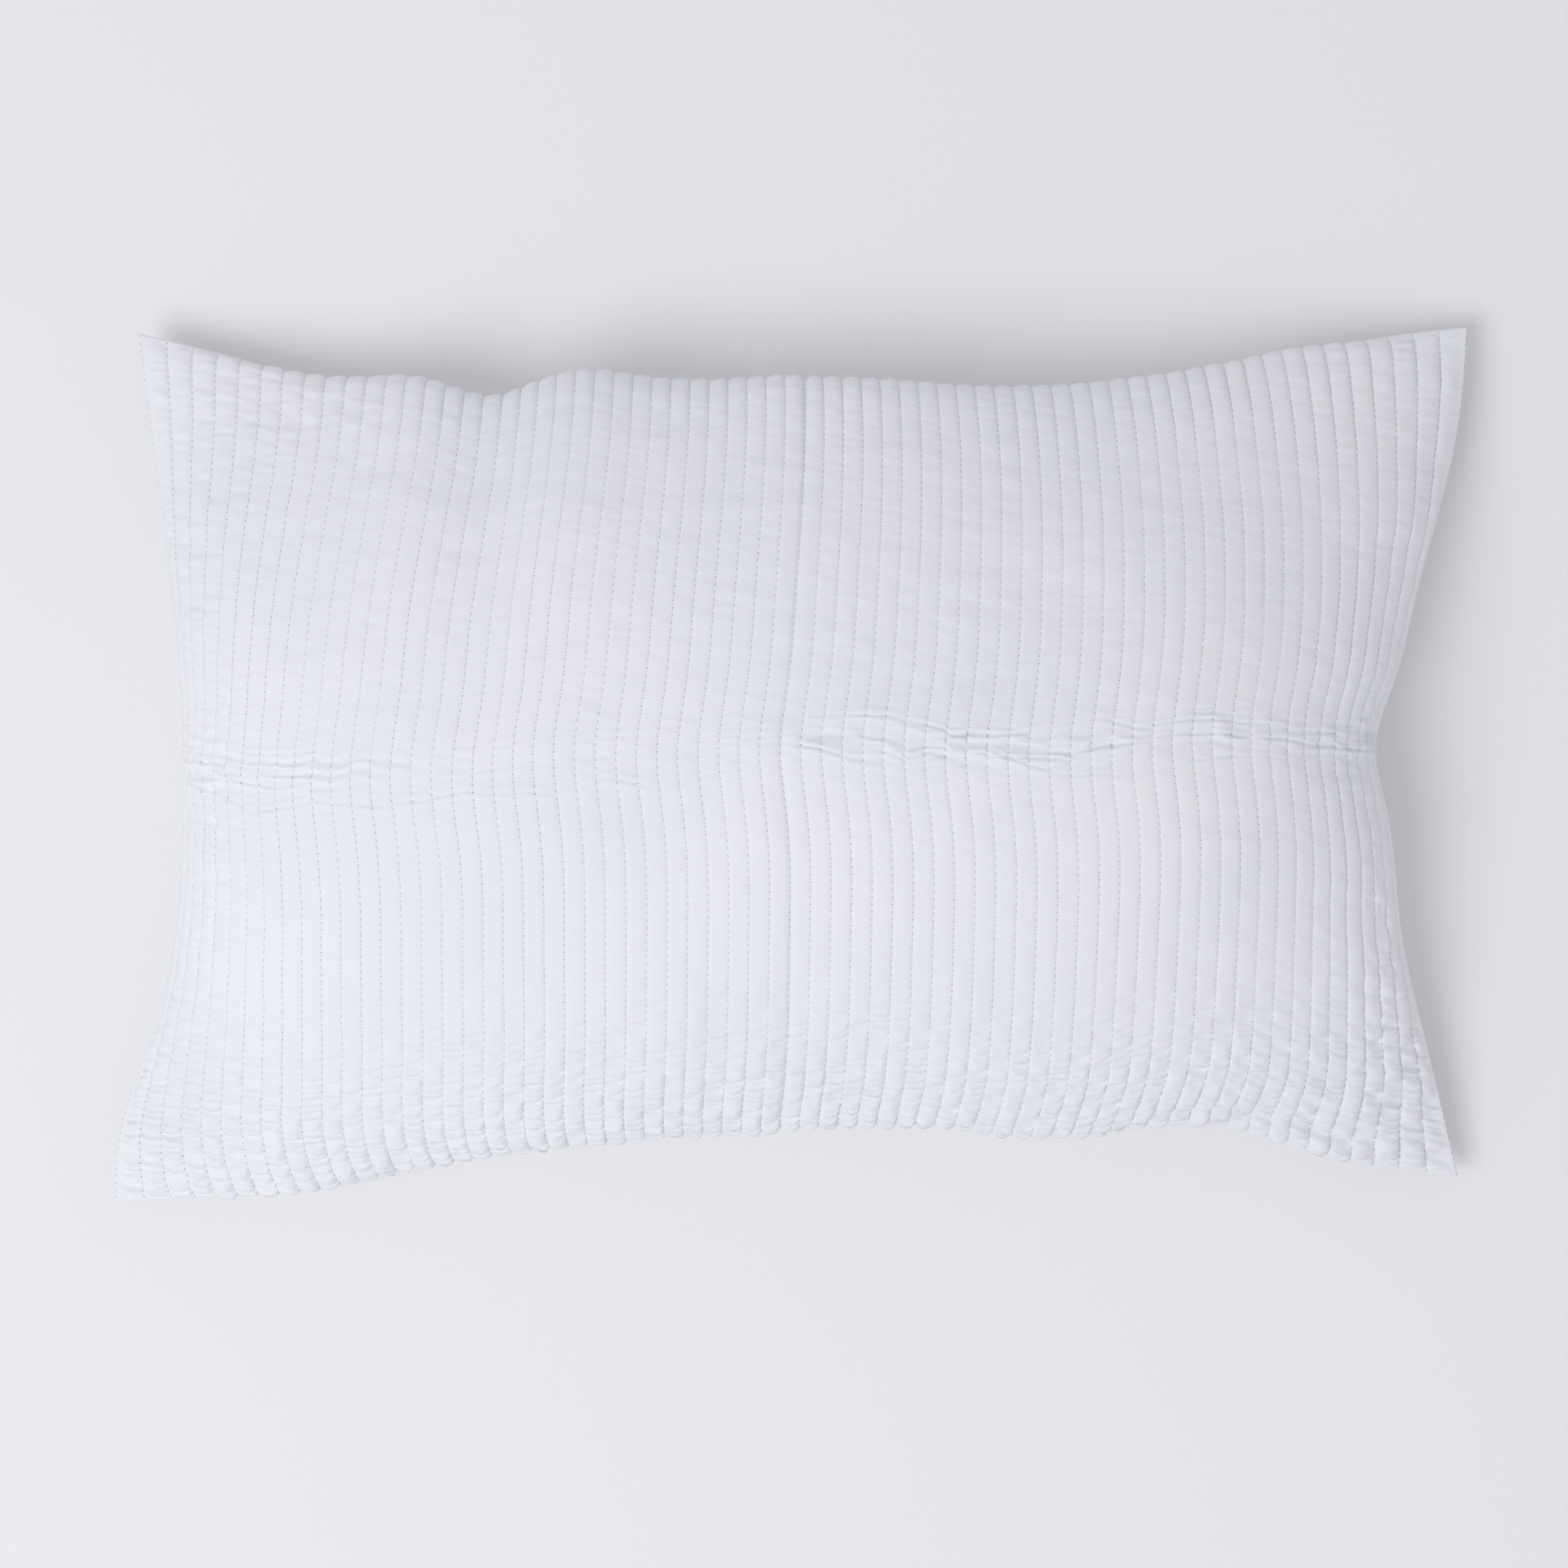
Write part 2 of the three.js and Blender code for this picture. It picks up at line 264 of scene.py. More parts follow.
def evened(points):
    """Slides the grid along the cloth until its lines are evenly spaced again."""
    for turn in range(EVENING_TURNS):
        step = np.linalg.norm(np.diff(points, axis=0), axis=-1)
        run = np.vstack([np.zeros(points.shape[1]), np.cumsum(step, axis=0)])
        place = np.linspace(-1, 1, points.shape[0])
        slid = np.empty_like(points)
        for j in range(points.shape[1]):
            length = run[-1, j]
            if turn % 2 == 0:  # channels keep their width from the middle out
                short = 1 - length / CASE_LENGTH
                crowded = 1 - short * np.abs(place) ** SLACK_AT_ENDS
                at = length / 2 + place * crowded * CASE_LENGTH / 2
            else:
                at = (place + 1) / 2 * length
            for k in range(3):
                slid[:, j, k] = np.interp(at, run[:, j], points[:, j, k])
        points = slid.transpose(1, 0, 2)
    return points


middle_height = seam_middle[..., 2]
rise, drop = blown_top[..., 2] - middle_height, middle_height - blown_bottom[..., 2]
crown = np.unravel_index(rise.argmax(), rise.shape)
top_shape, bottom_shape = blown_top.copy(), blown_bottom.copy()
top_shape[..., 2] = middle_height + fuller(rise / rise.max()) * (LOFT - CHANNEL_STAND - middle_height[crown])
settled = middle_height - fuller(drop / drop.max()) * (middle_height.max() + SETTLE)
bottom_shape[..., 2] = 0.5 * (settled + np.sqrt(settled**2 + SETTLE_ROUND**2))
lift = BED_GAP - bottom_shape[..., 2].min()
bottom_shape[..., 2] += lift * (1 - (bottom_shape[..., 2] / LIFT_BELOW).clip(0, 1))
top_shape = evened(rolled(top_shape, 1))
bottom_shape = evened(rolled(bottom_shape, UNDERSIDE_ROLL))

CROWD = 0.05  # how much closer channels lie at the crown, where nothing stretches them


def spread(s):
    return s * (1 - CROWD) + CROWD * s**3


def resample(shape, s, t):
    knots_s = np.linspace(-1, 1, shape.shape[0])
    knots_t = np.linspace(-1, 1, shape.shape[1])
    along_s = spline_weights(knots_s, s)
    along_t = spline_weights(knots_t, t)
    return np.einsum("ai,ijk,bj->abk", along_s, shape, along_t)


def normals_of(points):
    along_s, along_t = np.gradient(points, axis=0), np.gradient(points, axis=1)
    normals = np.cross(along_s, along_t)
    return normals / np.linalg.norm(normals, axis=-1, keepdims=True)


def noise(x, y, seed):
    """Smooth uneven ground from -1 to 1, one bump to a unit."""
    table = np.random.default_rng(seed).uniform(-1, 1, (128, 128))
    i, j = np.floor(x).astype(int), np.floor(y).astype(int)
    a, b = x - i, y - j
    a, b = a * a * (3 - 2 * a), b * b * (3 - 2 * b)

    def at(m, n):
        return table[m % 128, n % 128]

    return (at(i, j) * (1 - a) + at(i + 1, j) * a) * (1 - b) + (
        at(i, j + 1) * (1 - a) + at(i + 1, j + 1) * a
    ) * b


def path_distance(x, y, path):
    nearest = np.full(x.shape, np.inf)
    for (ax, ay), (bx, by) in zip(path, path[1:]):
        dx, dy = bx - ax, by - ay
        share = (((x - ax) * dx + (y - ay) * dy) / (dx * dx + dy * dy)).clip(0, 1)
        nearest = np.minimum(nearest, np.hypot(x - ax - share * dx, y - ay - share * dy))
    return nearest


def around(x, y, centre, reach):
    return np.exp(-(((x - centre[0]) / reach[0]) ** 2) - ((y - centre[1]) / reach[1]) ** 2)


# The marks of its packing. It was folded once along, which has left these broken lines of small
# pleats over the flat case, in metres, and once across, one channel left of the middle.
LONG_FOLD = [
    [
        (0.016, 0.020), (0.060, 0.022), (0.098, 0.011), (0.132, 0.015), (0.171, 0.023),
        (0.205, 0.014), (0.255, 0.012), (0.310, 0.010), (0.378, 0.004),
    ],
    [
        (0.010, 0.004), (0.040, -0.003), (0.075, -0.004), (0.108, 0.001), (0.152, 0.003),
        (0.196, 0.008), (0.230, 0.005), (0.290, 0.003), (0.378, 0.000),
    ],
    [(0.120, 0.004), (0.160, -0.008), (0.215, -0.012), (0.260, -0.007)],
    [
        (-0.378, -0.003), (-0.330, -0.006), (-0.305, -0.014), (-0.265, -0.008), (-0.226, -0.016),
        (-0.178, -0.008), (-0.130, -0.018), (-0.100, -0.010), (-0.068, -0.017), (-0.030, -0.005),
    ],
    [(-0.378, 0.013), (-0.340, 0.010), (-0.315, 0.002), (-0.285, 0.000), (-0.250, 0.003)],
]
# Where the near edge folds in by the near-right corner.
WING_FOLD = [(0.205, -0.238), (0.240, -0.228), (0.290, -0.226), (0.345, -0.236)]
# Where the cloth is slack and crumpled: how much, the middle, and the reach along and across.
SLACK_PLACES = [
    (0.9, (0.352, 0.004), (0.040, 0.022)),
    (0.9, (-0.345, 0.000), (0.040, 0.026)),
    (0.7, (0.350, -0.120), (0.020, 0.080)),
    (0.6, (-0.290, 0.215), (0.040, 0.020)),
    (0.4, (-0.345, -0.070), (0.024, 0.070)),
    (0.3, (-0.345, 0.120), (0.024, 0.070)),
]
# Heights of the relief: a channel's puff, its pleats, the slack waves, the folds, the crumpling.
PUFF, PUFF_NEAR, PUFF_FAR, PUFF_END = 0.00055, 0.0009, 0.0010, 0.0006
GATHER, GATHER_NEAR, GATHER_FAR, GATHER_END = 0.00010, 0.00150, 0.00014, 0.00030
WAVE, SMALL_WAVE, FINE_CREASE = 0.0006, 0.0004, 0.00017
LONG_CREASE, LONG_CRUMPLE = 0.0012, 0.0011
CROSS_VALLEY, CROSS_VALLEY_AT_EDGE, CROSS_SWELL, CROSS_CREST = 0.0008, 0.0012, 0.0006, 0.0015
WING_VALLEY, CRUMPLE, END_PINCH = 0.003, 0.0011, 0.0045
GROOVE_WIDTH = 0.0009  # how far from its stitch line a channel has risen by two thirds
PLEAT_BOW = 0.0012  # how far a pleat bows between its two stitch lines
PLEAT_WIDTH, SMALL_PLEAT_WIDTH = 0.0040, 0.0024


def smoothstep(x, low, high):
    share = ((x - low) / (high - low)).clip(0, 1)
    return share * share * (3 - 2 * share)


def ridges(x, y, seed):
    """Creased ground: sharp crests between rounded hollows, from -1 to 1."""
    return 1 - 2.4 * np.abs(noise(x, y, seed))


def from_edge(s, t):
    """Distance from the sewn edge over the flat case."""
    s, t = np.meshgrid(s, t, indexing="ij")
    return np.minimum((1 - np.abs(s)) * CASE_LENGTH, (1 - np.abs(t)) * CASE_WIDTH) / 2


def quilting_relief(s, t):
    """How far the front's face stands out from the filled case, over a grid of s and t."""
    edge = from_edge(s, t)
    s, t = np.meshgrid(s, t, indexing="ij")
    x, y = s * CASE_LENGTH / 2, t * CASE_WIDTH / 2
    lane = (s + 1) / 2 * CHANNELS
    channel = np.floor(lane.clip(0, CHANNELS - 1e-6))
    across = lane - channel
    near_edge, far_edge = smoothstep(-t, 0.62, 0.95), smoothstep(t, 0.62, 0.95)
    end = smoothstep(np.abs(s), 0.72, 0.97)

    # A channel is flat on top and turns down sharply into its stitch lines. Near the long
    # edges it stands higher and leans over the next one.
    groove = np.exp(-np.minimum(across, 1 - across) * CHANNEL_WIDTH / GROOVE_WIDTH)
    round_top = np.sin(math.pi * across ** (1 + 0.7 * (near_edge + far_edge))).clip(0) ** 0.8
    flatness = 0.72 - 0.27 * np.maximum(near_edge, far_edge)
    belly = flatness * (1 - groove) + (1 - flatness) * round_top
    puff = PUFF + PUFF_NEAR * near_edge + PUFF_FAR * far_edge + PUFF_END * end
    puff *= 1 + 0.30 * noise(channel * 0.37 + 3, y / 0.045, 11)
    relief = puff * belly

    # Small pleats that each channel takes across its own width, most near the near edge.
    gather = GATHER + GATHER_NEAR * smoothstep(-t, 0.40, 0.92)
    gather += GATHER_FAR * smoothstep(t, 0.6, 0.95) + GATHER_END * end
    bow = PLEAT_BOW * round_top
    pleats = ridges(channel * 5.3 + across * 0.4, (y + bow) / PLEAT_WIDTH + channel * 1.7, 12)
    pleats += 0.5 * ridges(channel * 3.1 + 40 + across, (y + bow) / SMALL_PLEAT_WIDTH, 13)
    relief += gather * pleats * (0.25 + 0.75 * belly) * (1 - 0.6 * groove)

    # Soft waves over many channels, and fine creases, as slack cloth lies.
    relief += WAVE * noise(x / 0.060, y / 0.022, 14) + SMALL_WAVE * noise(x / 0.025, y / 0.011, 15)
    relief += FINE_CREASE * ridges(x / 0.020 + 4, (y + 0.2 * x) / 0.0060, 20)

    # The long fold: a chain of short creases that step sideways from channel to channel.
    step = 0.0009 * noise(channel * 7.7, 0 * y, 16)
    sway = step + 0.0020 * noise(x / 0.022, y / 0.05 + 9, 22)
    for n, path in enumerate(LONG_FOLD):
        d = path_distance(x, y + sway, path)
        broken = (0.55 + 0.75 * noise(x / 0.017 + 13 * n, y / 0.02 + 5, 17)).clip(0.08)
        lips, crease = np.exp(-((d / 0.0030) ** 2)), np.exp(-((d / 0.0010) ** 2))
        relief += LONG_CREASE * broken * (lips - 1.5 * crease)
    band = smoothstep(x, -0.03, 0.06) + 0.8 * smoothstep(-x, 0.20, 0.27)
    band = (0.35 + 0.65 * band) * np.exp(-(((y - 0.006) / 0.011) ** 2))
    drift = 0.0030 * noise(x / 0.014, y / 0.012 + 2, 23)
    relief += LONG_CRUMPLE * band * ridges(x / 0.026 + 6, (y + drift + step) / 0.0042, 21)

    # The cross fold: a stitch line sunk in a low swell, and a crest one channel to its left.
    valley = CROSS_VALLEY + CROSS_VALLEY_AT_EDGE * np.abs(t) ** 3
    relief -= valley * np.exp(-(((x - 0.001) / 0.0017) ** 2))
    relief += CROSS_SWELL * np.exp(-((x / 0.007) ** 2))
    crest = smoothstep(x, -4 * CHANNEL_WIDTH, -CHANNEL_WIDTH)
    crest -= smoothstep(x, -CHANNEL_WIDTH, 0.2 * CHANNEL_WIDTH)
    relief += CROSS_CREST * crest * (0.6 + 0.4 * smoothstep(-y, -0.02, 0.06))
    relief -= WING_VALLEY * np.exp(-((path_distance(x, y, WING_FOLD) / 0.005) ** 2))

    # Crumpled cells where the cloth is slack, and a pinch where the long fold meets the right end.
    cells = 0.8 * ridges(x / 0.014 + 2, y / 0.008, 18) + 0.5 * ridges(x / 0.008, y / 0.005 + 7, 19)
    slack = sum(much * around(x, y, centre, reach) for much, centre, reach in SLACK_PLACES)
    relief += CRUMPLE * slack * (cells - 0.2)
    relief -= END_PINCH * around(x, y, (0.371, 0.007), (0.012, 0.0035))

    # The edge is sewn flat.
    return relief * smoothstep(edge, -0.001, 0.005)


# A channel's own columns crowd towards its two stitch lines, where it turns down.
LANE_STEPS = np.array([0.0, 0.05, 0.14, 0.30, 0.50, 0.70, 0.86, 0.95])
FRONT_ROWS = 430
INSIDE_ROWS = 86  # rows of the coarser inside
LANES_STEP, ROWS_STEP = len(LANE_STEPS), FRONT_ROWS // INSIDE_ROWS
front_s = np.append((np.arange(CHANNELS)[:, None] + LANE_STEPS).ravel() / CHANNELS * 2 - 1, 1.0)
# Its rows crowd where the pleats are, at the near edge and along the long fold.
row_places = np.linspace(-1, 1, 4001)
row_need = 1 + 1.8 * np.exp(-(((row_places * CASE_WIDTH / 2 - 0.006) / 0.016) ** 2))
row_need += 0.9 * smoothstep(-row_places, 0.50, 0.75)
row_need = np.append(0, np.cumsum((row_need[1:] + row_need[:-1]) / 2))
front_t = np.interp(np.linspace(0, 1, FRONT_ROWS + 1), row_need / row_need[-1], row_places)

# In the seam all the plies are pressed flat on each other. These are the heights of their
# faces there, above and below the middle of the seam.
SEAM_FACE = 0.0018
SEAM_FRONT_INSIDE = 0.0009
SEAM_LINING_OUTSIDE = 0.0007
SEAM_INNERMOST = 0.0003
SEAM_BACK_FACE = -0.0009
SEAM_LAP_STEP = -0.0008  # how much lower the outer panel lies where the inner one is over it
SEAM_REACH = 0.007  # how far in from the seam the plies are free again
PLIES_NEED = 0.014  # with less room than this between the two sides, the plies lie closer
# How far the channels lean at the long edges, and where on the near one they stand straight.
LEAN_NEAR, LEAN_FAR, STRAIGHT_AT = -0.040, -0.050, -0.25


class Side:
    """One side of the filled case over a grid, and the way in from it."""

    def __init__(self, shape, s, t, inward, lean=False):
        self.base = resample(shape, spread(s), t)
        if lean:
            self.lean(s, t)
        self.inward = inward * normals_of(self.base)
        self.free = smoothstep(from_edge(s, t), 0, SEAM_REACH)[..., None]
        room = resample(top_shape - bottom_shape, spread(s), t)[..., 2]
        self.squeeze = (room / PLIES_NEED).clip(0.04, 1)[..., None]

    def lean(self, s, t):
        """The channels lean where they turn down to the long edges."""
        for j in range(len(t)):
            near, far = smoothstep(-t[j], 0.74, 1.0), smoothstep(t[j], 0.25, 1.0)
            shift = (LEAN_NEAR * near * (s - STRAIGHT_AT) + LEAN_FAR * far * s) * (1 - s**6)
            for k in range(3):
                self.base[:, j, k] = np.interp(s + shift, s, self.base[:, j, k])

    def ply(self, depth, seam_height):
        """A ply's face: its depth below the side's own face, and its height in the seam."""
        shape = self.base.shape[:2]
        depth = np.broadcast_to(depth, shape)[..., None]
        depth = np.where(depth > 0, depth * self.squeeze, depth)
        seam_height = np.broadcast_to(seam_height, shape)[..., None]
        pressed = seam_height * np.array([0, 0, 1.0])
        return self.base + self.free * self.inward * depth + (1 - self.free) * pressed


front = Side(top_shape, front_s, front_t, -1, lean=True)
front_face = front.ply(-quilting_relief(front_s, front_t), SEAM_FACE)
front_inside = front.ply(FRONT_THICKNESS, SEAM_FRONT_INSIDE)[::LANES_STEP, ::ROWS_STEP]


def rim_path(shape):
    """Positions of a grid's border, once round."""
    rows, columns = shape
    path = [(i, 0) for i in range(rows - 1)] + [(rows - 1, j) for j in range(columns - 1)]
    path += [(i, columns - 1) for i in range(rows - 1, 0, -1)]
    return path + [(0, j) for j in range(columns - 1, 0, -1)]


def make_object(name, points, faces):
    mesh = bpy.data.meshes.new(name)
    mesh.from_pydata(points.tolist(), [], [list(map(int, f)) for f in faces])
    mesh.validate()
    mesh.polygons.foreach_set("use_smooth", [True] * len(mesh.polygons))
    mesh.update()
    made = bpy.data.objects.new(name, mesh)
    bpy.context.scene.collection.objects.link(made)
    return made


def set_cut_map(made, flat):
    """A UV map in metres over the flat cut cloth, for patterns that follow it."""
    layer = made.data.uv_layers.new(name="cut")
    corner = np.empty(len(made.data.loops), np.int32)
    made.data.loops.foreach_get("vertex_index", corner)
    layer.data.foreach_set("uv", flat[corner].ravel())


def flat_places(s, t):
    x, y = np.meshgrid(s * CASE_LENGTH / 2, t * CASE_WIDTH / 2, indexing="ij")
    return np.stack([x, y], -1).reshape(-1, 2)


def closed_front(outer, inner):
    outer_ids = np.arange(outer.shape[0] * outer.shape[1]).reshape(outer.shape[:2])
    inner_ids = outer_ids.size + np.arange(inner.shape[0] * inner.shape[1]).reshape(inner.shape[:2])
    faces = grid_faces(outer_ids).tolist() + grid_faces(inner_ids, flip=True).tolist()
    outer_rim = [outer_ids[i, j] for i, j in rim_path(outer.shape[:2])]
    inner_rim = [inner_ids[i, j] for i, j in rim_path(inner.shape[:2])]
    step_s = (outer.shape[0] - 1) // (inner.shape[0] - 1)
    step_t = (outer.shape[1] - 1) // (inner.shape[1] - 1)
    steps = [step_s] * (inner.shape[0] - 1) + [step_t] * (inner.shape[1] - 1)
    place = 0
    for n, step in enumerate(steps * 2):
        stretch = [outer_rim[(place + k) % len(outer_rim)] for k in range(step + 1)]
        inner_next = inner_rim[(n + 1) % len(inner_rim)]
        faces.append(stretch[::-1] + [inner_rim[n], inner_next])
        place += step
    return np.vstack([outer.reshape(-1, 3), inner.reshape(-1, 3)]), faces


points, faces = closed_front(front_face, front_inside)
quilted_front = make_object("quilted_front", points, faces)
flat = flat_places(front_s, front_t)
inside_flat = flat_places(front_s[::LANES_STEP], front_t[::ROWS_STEP])
set_cut_map(quilted_front, np.vstack([flat, inside_flat]))

STITCH_PITCH = 0.0042
NEEDLE_HOLE = 0.00024


def maths(tree, operation, *values):
    node = tree.nodes.new("ShaderNodeMath")
    node.operation = operation
    for socket, value in zip(node.inputs, values):
        if isinstance(value, (int, float)):
            socket.default_value = value
        else:
            tree.links.new(value, socket)
    return node.outputs[0]


def new_material(name, **inputs):
    """A material whose surface takes uniform values by the names of their sockets."""
    material = bpy.data.materials.new(name)
    material.use_nodes = True
    surface = material.node_tree.nodes["Principled BSDF"]
    for socket, value in inputs.items():
        surface.inputs[socket.replace("_", " ")].default_value = value
    return material, material.node_tree, surface


def pattern(tree, kind, source, **inputs):
    """A procedural texture that reads its places from another node's output."""
    texture = tree.nodes.new("ShaderNodeTex" + kind)
    for socket, value in inputs.items():
        texture.inputs[socket].default_value = value
    tree.links.new(source, texture.inputs["Vector"])
    return texture.outputs["Fac"]


def shaded(tree, share, surface, dark, light, start=0.0, end=1.0):
    """Colours a surface between two tints by a pattern."""
    ramp = tree.nodes.new("ShaderNodeValToRGB")
    ramp.color_ramp.elements[0].position, ramp.color_ramp.elements[1].position = start, end
    ramp.color_ramp.elements[0].color = (*dark, 1)
    ramp.color_ramp.elements[1].color = (*light, 1)
    tree.links.new(share, ramp.inputs["Fac"])
    tree.links.new(ramp.outputs["Color"], surface.inputs["Base Color"])


def embossed(tree, height, surface, strength, distance, under=None):
    """Raises a surface by a pattern, over an earlier relief if there is one."""
    bump = tree.nodes.new("ShaderNodeBump")
    bump.inputs["Strength"].default_value = strength
    bump.inputs["Distance"].default_value = distance
    tree.links.new(height, bump.inputs["Height"])
    if under is not None:
        tree.links.new(under, bump.inputs["Normal"])
    tree.links.new(bump.outputs[0], surface.inputs["Normal"])
    return bump.outputs[0]


def cotton(name, light, shade, roughness, thread=0.00035, crinkle=0.25):
    """Plain-woven cotton: fine slubbed threads both ways, soft crinkles, a trace of uneven tint."""
    material, tree, surface = new_material(
        name,
        Roughness=roughness,
        Sheen_Weight=0.25,
        Sheen_Roughness=0.5,
        Specular_IOR_Level=0.25,
    )
    cut = tree.nodes.new("ShaderNodeUVMap")
    cut.uv_map = "cut"
    tint = pattern(tree, "Noise", cut.outputs[0], Scale=7.0, Detail=4.0)
    shaded(tree, tint, surface, shade, light, 0.35, 0.65)
    threads = []
    for stretch in ((1, 0.18), (0.18, 1)):
        lay = tree.nodes.new("ShaderNodeMapping")
        lay.inputs["Scale"].default_value = (stretch[0] / thread, stretch[1] / thread, 1)
        tree.links.new(cut.outputs[0], lay.inputs["Vector"])
        threads.append(pattern(tree, "Noise", lay.outputs[0], Scale=0.5, Detail=1.0))
    weave = embossed(tree, maths(tree, "MAXIMUM", *threads), surface, 0.35, 0.0001)
    soft = pattern(tree, "Noise", cut.outputs[0], Scale=110.0, Detail=3.0)
    embossed(tree, soft, surface, crinkle, 0.0006, under=weave)
    return material


def paint_needle_hole_shade(material):
    """Painted shade: a dark pinprick at each end of every stitch, along every quilting line, for the shade
    inside each needle hole.
    """
    tree = material.node_tree
    surface = tree.nodes["Principled BSDF"]
    cut = tree.nodes.new("ShaderNodeUVMap")
    cut.uv_map = "cut"
    split = tree.nodes.new("ShaderNodeSeparateXYZ")
    tree.links.new(cut.outputs[0], split.inputs[0])
    away = []
    for axis, pitch in ((0, CHANNEL_WIDTH), (1, STITCH_PITCH)):
        turns = maths(tree, "MULTIPLY_ADD", split.outputs[axis], 1 / pitch, 0.5)
        off = maths(tree, "SUBTRACT", maths(tree, "FRACT", turns), 0.5)
        away.append(maths(tree, "MULTIPLY", off, pitch))
    square = maths(tree, "MULTIPLY_ADD", away[0], away[0], maths(tree, "MULTIPLY", away[1], away[1]))
    hole_shade = tree.nodes.new("ShaderNodeMapRange")
    hole_shade.inputs["From Min"].default_value = NEEDLE_HOLE**2
    hole_shade.inputs["From Max"].default_value = (2 * NEEDLE_HOLE) ** 2
    hole_shade.inputs["To Min"].default_value = 1.0
    hole_shade.inputs["To Max"].default_value = 0.0
    tree.links.new(square, hole_shade.inputs["Value"])
    mix = tree.nodes.new("ShaderNodeMix")
    mix.data_type = "RGBA"
    # The painted shade's colour inside each needle hole, darker than the cotton.
    mix.inputs["B"].default_value = (0.36, 0.36, 0.39, 1)
    colour = surface.inputs["Base Color"].links[0].from_socket
    tree.links.new(colour, mix.inputs["A"])
    tree.links.new(hole_shade.outputs[0], mix.inputs["Factor"])
    tree.links.new(mix.outputs["Result"], surface.inputs["Base Color"])


face_cotton = cotton("face_cotton", (0.865, 0.872, 0.920), (0.835, 0.842, 0.893), 0.85)
paint_needle_hole_shade(face_cotton)
quilted_front.data.materials.append(face_cotton)
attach(quilted_front, "root")
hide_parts("sham_front_face", "sham_front_wadding")

# ==============================================================================================
# Quilting thread. White cotton thread in a running line along each channel's edge, its stitches
# a few millimetres long; each one lies on the cloth and dives through it at both ends.
THREAD_RADIUS = 0.00019
STITCH_SHOWN = 0.72  # share of each stitch's pitch that lies on top
STITCH_BENDS = np.array([0, 0.14, 0.86, 1.0])  # where along its length a stitch bends
STITCH_SIDES = 4


def stitch_rows(paths, pitch, radius, shown=STITCH_SHOWN, lift=0.0001, dive=0.0006):
    """Short bent rods along each path, a pair of point and outward-normal lists."""
    shapes = []
    turns = (np.arange(STITCH_SIDES) + 0.5)[None, None, :, None] * 2 * math.pi / STITCH_SIDES
    for path, outward in paths:
        steps = np.linalg.norm(np.diff(path, axis=0), axis=1)
        length = np.concatenate([[0], np.cumsum(steps)])
        count = int(length[-1] / pitch)
        if count < 1:
            continue
        starts = (np.arange(count) + 0.5 - shown / 2) * length[-1] / count
        reach = shown * length[-1] / count
        at = starts[:, None] + STITCH_BENDS * reach
        place = np.stack([np.interp(at, length, path[:, k]) for k in range(3)], -1)
        out = np.stack([np.interp(at, length, outward[:, k]) for k in range(3)], -1)
        out /= np.linalg.norm(out, axis=-1, keepdims=True)
        place += out * np.array([-dive, lift, lift, -dive])[None, :, None]
        along = (place[:, 3] - place[:, 0])[:, None]
        along = along / np.linalg.norm(along, axis=-1, keepdims=True)
        side = np.cross(along, out)
        side /= np.linalg.norm(side, axis=-1, keepdims=True)
        ring = np.cos(turns) * side[:, :, None] + np.sin(turns) * out[:, :, None]
        rings = place[:, :, None] + radius * ring
        shapes.append(rings.reshape(-1, 4 * STITCH_SIDES, 3))
    rods = np.concatenate(shapes)
    faces = []
    for low in range(0, 3 * STITCH_SIDES, STITCH_SIDES):
        high = low + STITCH_SIDES
        for k in range(STITCH_SIDES):
            n = (k + 1) % STITCH_SIDES
            faces.append([low + k, low + n, high + n, high + k])
    first = list(range(STITCH_SIDES))[::-1]
    last = [3 * STITCH_SIDES + k for k in range(STITCH_SIDES)]
    faces += [first, last]
    faces = np.array(faces)[None] + (np.arange(len(rods)) * 4 * STITCH_SIDES)[:, None, None]
    return rods.reshape(-1, 3), faces.reshape(-1, 4)


face_normals = normals_of(front_face)
quilt_lines = [
    (front_face[k * LANES_STEP, 2:-2], face_normals[k * LANES_STEP, 2:-2])
    for k in range(1, CHANNELS)
]


def thread_material(name, colour):
    """Two-ply cotton thread: its twist shows as fine slanting light and shade."""
    material, tree, surface = new_material(name, Roughness=0.6, Sheen_Weight=0.2)
    place = tree.nodes.new("ShaderNodeTexCoord").outputs["Object"]
    twist = pattern(tree, "Wave", place, Scale=900.0, Distortion=1.5)
    twist.node.bands_direction = "DIAGONAL"
    shaded(tree, twist, surface, [c * 0.88 for c in colour], colour)
    embossed(tree, twist, surface, 0.4, 0.0001)
    return material


white_thread = thread_material("white_thread", (0.88, 0.88, 0.90))
half = len(quilt_lines) // 2
for side, lines in (("left", quilt_lines[:half]), ("right", quilt_lines[half:])):
    thread = make_object(f"quilting_thread_{side}", *stitch_rows(lines, STITCH_PITCH, THREAD_RADIUS))
    thread.data.materials.append(white_thread)
    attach(thread, "root")

# ==============================================================================================
# Lining of the front. Thin unbleached muslin on the inside of the wadding, caught by the same
# quilting lines, so it is drawn up a little along each of them.
LINING_THICKNESS = 0.0004
CLEARANCE = 0.0003  # between two layers that lie on each other
LINING_PUFF = 0.0007


def closed_sheet(name, upper, lower, s, t):
    """A sheet of cloth between two surfaces over one grid, joined along its border."""
    upper_ids = np.arange(upper.shape[0] * upper.shape[1]).reshape(upper.shape[:2])
    lower_ids = upper_ids + upper_ids.size
    faces = [grid_faces(upper_ids), grid_faces(lower_ids, flip=True)]
    rim = rim_path(upper.shape[:2])
    border = [
        [upper_ids[b], upper_ids[a], lower_ids[a], lower_ids[b]]
        for a, b in zip(rim, rim[1:] + rim[:1])
    ]
    points = np.vstack([upper.reshape(-1, 3), lower.reshape(-1, 3)])
    made = make_object(name, points, np.vstack(faces + [border]))
    flat = flat_places(s, t)
    set_cut_map(made, np.vstack([flat, flat]))
    return made


